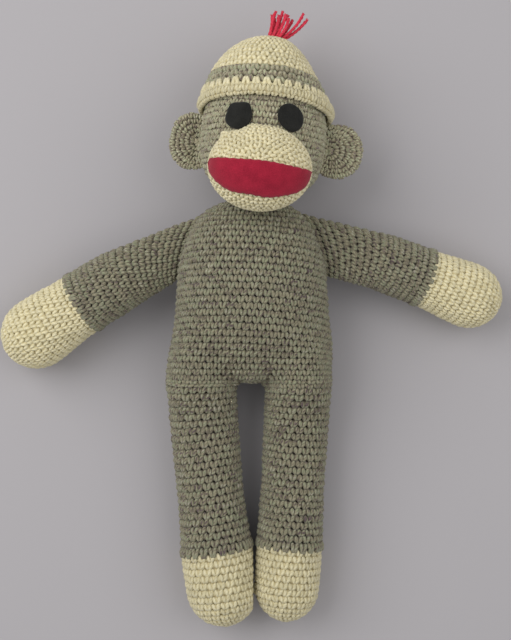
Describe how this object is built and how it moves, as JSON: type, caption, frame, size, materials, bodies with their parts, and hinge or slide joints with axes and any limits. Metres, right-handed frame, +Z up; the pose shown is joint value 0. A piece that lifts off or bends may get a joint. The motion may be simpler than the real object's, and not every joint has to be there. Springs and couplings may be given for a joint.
{
  "type": "crocheted sock monkey doll",
  "caption": "Crocheted stuffed monkey doll lying on its back, with swinging arms and legs, a turning head, cupped ears, a felt face and a hat that lifts off.",
  "frame": {"origin": "on the floor under the middle of the doll's box", "axes": "+Y from feet to head, +Z up out of the face and belly, +X to the doll's own left"},
  "size_m": [0.3822, 0.469, 0.1242],
  "materials": {
    "tweed_yarn": "matte",
    "cream_yarn": "matte",
    "fibrefill": "matte",
    "red_felt": "matte",
    "black_felt": "matte",
    "red_yarn": "matte"
  },
  "bodies": {
    "torso": {"torso_cover": "tweed_yarn", "torso_stuffing": "fibrefill"},
    "neck": {"neck_stuffing": "fibrefill"},
    "head": {"head_cover": "tweed_yarn", "head_stuffing": "fibrefill", "muzzle_cover": "cream_yarn", "muzzle_stuffing": "fibrefill", "mouth": "red_felt", "left_eye": "black_felt", "right_eye": "black_felt"},
    "hat": {"hat_crown": "cream_yarn", "hat_band": "tweed_yarn", "hat_side": "cream_yarn", "hat_brim": "cream_yarn", "tassel": "red_yarn"},
    "left_ear": {"left_ear": "tweed_yarn"},
    "right_ear": {"right_ear": "tweed_yarn"},
    "left_shoulder": {"left_shoulder_stuffing": "fibrefill"},
    "left_arm": {"left_sleeve": "tweed_yarn", "left_hand": "cream_yarn", "left_arm_stuffing": "fibrefill"},
    "left_hip": {"left_hip_stuffing": "fibrefill"},
    "left_leg": {"left_leg": "tweed_yarn", "left_foot": "cream_yarn", "left_leg_stuffing": "fibrefill"},
    "right_shoulder": {"right_shoulder_stuffing": "fibrefill"},
    "right_arm": {"right_sleeve": "tweed_yarn", "right_hand": "cream_yarn", "right_arm_stuffing": "fibrefill"},
    "right_hip": {"right_hip_stuffing": "fibrefill"},
    "right_leg": {"right_leg": "tweed_yarn", "right_foot": "cream_yarn", "right_leg_stuffing": "fibrefill"}
  },
  "joints": [
    {"name": "neck_turn", "type": "hinge", "parent": "torso", "child": "neck", "pos_m": [0.0045, 0.091, 0.042], "axis": [0, 1, 0], "range_deg": [-40, 40]},
    {"name": "neck_nod", "type": "hinge", "parent": "neck", "child": "head", "pos_m": [0.0045, 0.091, 0.042], "axis": [1, 0, 0], "range_deg": [-20, 6]},
    {"name": "hat_lift", "type": "slide", "parent": "head", "child": "hat", "axis": [0.0872, 0.9962, 0], "range_m": [0, 0.07]},
    {"name": "left_ear_fold", "type": "hinge", "parent": "head", "child": "left_ear", "pos_m": [0.05385, 0.12734, 0.05229], "axis": [-0.0872, -0.9962, 0], "range_deg": [-10, 15], "stiffness_Nm_per_rad": 0.004},
    {"name": "right_ear_fold", "type": "hinge", "parent": "head", "child": "right_ear", "pos_m": [-0.03784, 0.13486, 0.05229], "axis": [0.0872, 0.9962, 0], "range_deg": [-10, 15], "stiffness_Nm_per_rad": 0.004},
    {"name": "left_arm_swing", "type": "hinge", "parent": "torso", "child": "left_shoulder", "pos_m": [0.07176, 0.0512, 0.042], "axis": [0, -1, 0], "range_deg": [-40, 70]},
    {"name": "left_arm_lift", "type": "hinge", "parent": "left_shoulder", "child": "left_arm", "pos_m": [0.07176, 0.0512, 0.042], "axis": [0, 0, 1], "range_deg": [-25, 50]},
    {"name": "left_leg_swing", "type": "hinge", "parent": "torso", "child": "left_hip", "pos_m": [0.036, -0.048, 0.0247], "axis": [-1, 0, 0], "range_deg": [-15, 90]},
    {"name": "left_leg_spread", "type": "hinge", "parent": "left_hip", "child": "left_leg", "pos_m": [0.036, -0.048, 0.0247], "axis": [0, 0, 1], "range_deg": [0, 25]},
    {"name": "right_arm_swing", "type": "hinge", "parent": "torso", "child": "right_shoulder", "pos_m": [-0.07431, 0.0407, 0.042], "axis": [0, 1, 0], "range_deg": [-40, 70]},
    {"name": "right_arm_lift", "type": "hinge", "parent": "right_shoulder", "child": "right_arm", "pos_m": [-0.07431, 0.0407, 0.042], "axis": [0, 0, -1], "range_deg": [-25, 50]},
    {"name": "right_leg_swing", "type": "hinge", "parent": "torso", "child": "right_hip", "pos_m": [-0.0392, -0.048, 0.0257], "axis": [-1, 0, 0], "range_deg": [-15, 90]},
    {"name": "right_leg_spread", "type": "hinge", "parent": "right_hip", "child": "right_leg", "pos_m": [-0.0392, -0.048, 0.0257], "axis": [0, 0, -1], "range_deg": [0, 25]}
  ]
}
